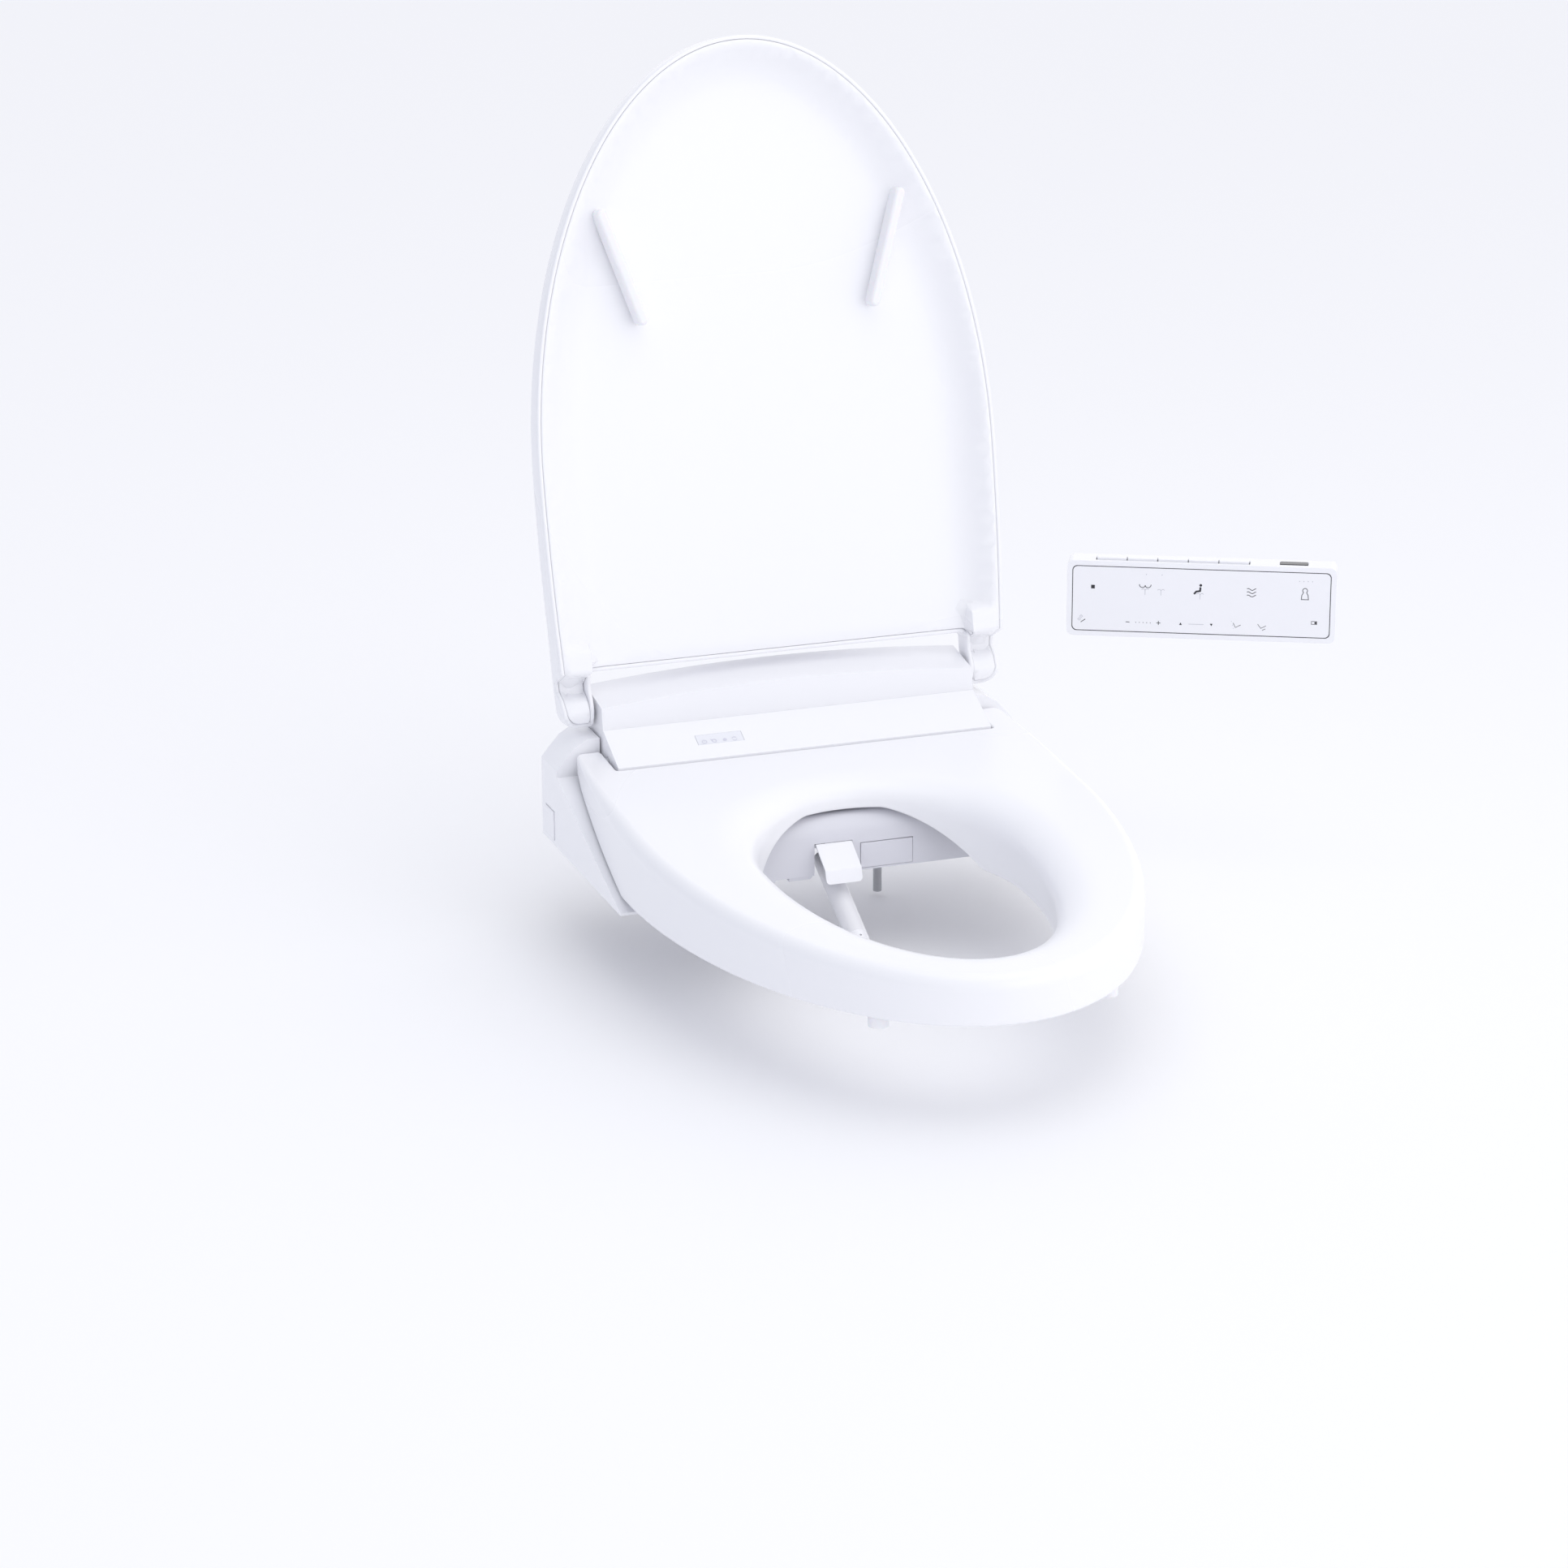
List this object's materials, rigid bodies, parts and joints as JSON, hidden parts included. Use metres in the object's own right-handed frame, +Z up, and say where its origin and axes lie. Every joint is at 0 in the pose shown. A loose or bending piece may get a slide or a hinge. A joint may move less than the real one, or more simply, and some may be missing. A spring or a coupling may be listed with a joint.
{
  "type": "electric bidet seat",
  "caption": "Electric bidet toilet seat: hinged lid and heated ring on a main unit with sliding wash wand, dryer and shutter, bolt-down base plate and a wall remote in its holder.",
  "frame": {"origin": "midpoint between the two mounting bolts, on the plane of the bowl rim under the base plate", "axes": "+Z up, -Y towards the front of the seat, +X to the right for someone facing the seat"},
  "size_m": [0.6227, 0.6232, 0.6721],
  "materials": {
    "white_shell": "glossy moulded",
    "inner_plastic": "satin moulded",
    "wand_grey": "satin",
    "soft_buffer": "soft matte",
    "dark_plastic": "matte",
    "steel": "brushed",
    "brass": "turned",
    "lens": "polished",
    "ir_dark": "polished",
    "circuit": "solder mask",
    "foil": "foil"
  },
  "bodies": {
    "mount": {"base_plate": "inner_plastic", "bolt_left": "steel", "bolt_right": "steel", "remote_hanger": "white_shell"},
    "lid": {"lid_outer": "white_shell", "lid_liner": "white_shell", "lid_bumper_left": "soft_buffer", "lid_bumper_right": "soft_buffer"},
    "seat": {"seat_top": "white_shell", "seat_base": "inner_plastic", "seat_heater": "foil", "seat_buffer_fl": "soft_buffer", "seat_buffer_fr": "soft_buffer", "seat_buffer_rl": "soft_buffer", "seat_buffer_rr": "soft_buffer"},
    "wand": {"wand_tube": "wand_grey", "wand_tip": "white_shell"},
    "remote": {"remote_case": "white_shell", "remote_face": "white_shell", "ir_window": "ir_dark", "remote_board": "circuit", "remote_cell_low": "steel", "remote_cell_high": "steel", "battery_door": "white_shell"},
    "wand_flap": {"wand_flap": "white_shell"},
    "dryer_door": {"dryer_door": "white_shell"},
    "release_button": {"release_button": "white_shell"},
    "dryer_impeller": {"dryer_impeller": "dark_plastic"},
    "deodor_impeller": {"deodor_impeller": "dark_plastic"},
    "wand_pinion": {"wand_pinion": "white_shell"},
    "key_1": {"key_1": "white_shell"},
    "key_2": {"key_2": "white_shell"},
    "key_3": {"key_3": "white_shell"},
    "key_4": {"key_4": "white_shell"},
    "key_5": {"key_5": "white_shell"},
    "main_unit": {"lower_case": "inner_plastic", "cheek_left": "white_shell", "cheek_right": "white_shell", "front_cover": "white_shell", "ledge_cover": "white_shell", "hood_cover": "white_shell", "indicator_lens": "lens", "lid_pin": "steel", "lid_damper": "dark_plastic", "seat_pin": "steel", "seat_damper": "dark_plastic", "wand_rail": "dark_plastic", "wand_motor": "steel", "dryer_case": "inner_plastic", "dryer_motor": "steel", "dryer_heater": "foil", "deodor_case": "inner_plastic", "deodor_filter": "dark_plastic", "inlet_fitting": "brass", "valve_block": "dark_plastic", "heat_exchanger": "inner_plastic", "pump": "dark_plastic", "power_board": "circuit", "control_board": "circuit"}
  },
  "joints": [
    {"name": "unit_slide", "type": "slide", "parent": "mount", "child": "main_unit", "axis": [0, -1, 0], "range_m": [0, 0.05]},
    {"name": "lid_hinge", "type": "hinge", "parent": "main_unit", "child": "lid", "pos_m": [0, 0.036, 0.104], "axis": [-1, 0, 0], "range_deg": [-106, 0]},
    {"name": "seat_hinge", "type": "hinge", "parent": "main_unit", "child": "seat", "pos_m": [0, -0.002, 0.073], "axis": [-1, 0, 0], "range_deg": [0, 98]},
    {"name": "wand_slide", "type": "slide", "parent": "main_unit", "child": "wand", "axis": [0, -0.8829, -0.4695], "range_m": [-0.15, 0]},
    {"name": "flap_hinge", "type": "hinge", "parent": "main_unit", "child": "wand_flap", "pos_m": [-0.009, -0.1136, 0.0244], "axis": [-1, 0, 0], "range_deg": [-50, 0]},
    {"name": "pinion_spin", "type": "hinge", "parent": "main_unit", "child": "wand_pinion", "pos_m": [0.005, 0.03, 0.064], "axis": [1, 0, 0], "range_deg": [-1440, 0]},
    {"name": "dryer_door_hinge", "type": "hinge", "parent": "main_unit", "child": "dryer_door", "pos_m": [0.03475, -0.1126, 0.0216], "axis": [-1, 0, 0], "range_deg": [0, 35]},
    {"name": "dryer_fan_spin", "type": "hinge", "parent": "main_unit", "child": "dryer_impeller", "pos_m": [0.038, -0.002, 0.03], "axis": [0, 0, 1], "continuous": true},
    {"name": "deodor_fan_spin", "type": "hinge", "parent": "main_unit", "child": "deodor_impeller", "pos_m": [0.112, -0.028, 0.03], "axis": [0, 0, 1], "continuous": true},
    {"name": "release_press", "type": "slide", "parent": "main_unit", "child": "release_button", "axis": [1, 0, 0], "range_m": [0, 0.0025], "stiffness_N_per_m": 900},
    {"name": "remote_lift", "type": "slide", "parent": "mount", "child": "remote", "axis": [0, 0, 1], "range_m": [0, 0.018]},
    {"name": "key_1_press", "type": "slide", "parent": "remote", "child": "key_1", "axis": [0, 0, -1], "range_m": [0, 0.0012], "stiffness_N_per_m": 500},
    {"name": "key_2_press", "type": "slide", "parent": "remote", "child": "key_2", "axis": [0, 0, -1], "range_m": [0, 0.0012], "stiffness_N_per_m": 500},
    {"name": "key_3_press", "type": "slide", "parent": "remote", "child": "key_3", "axis": [0, 0, -1], "range_m": [0, 0.0012], "stiffness_N_per_m": 500},
    {"name": "key_4_press", "type": "slide", "parent": "remote", "child": "key_4", "axis": [0, 0, -1], "range_m": [0, 0.0012], "stiffness_N_per_m": 500},
    {"name": "key_5_press", "type": "slide", "parent": "remote", "child": "key_5", "axis": [0, 0, -1], "range_m": [0, 0.0012], "stiffness_N_per_m": 500}
  ],
  "couplings": [
    {"joint": "flap_hinge", "follows": "wand_slide", "rad_per_m": 5.8178},
    {"joint": "pinion_spin", "follows": "wand_slide", "rad_per_m": 166.67}
  ]
}
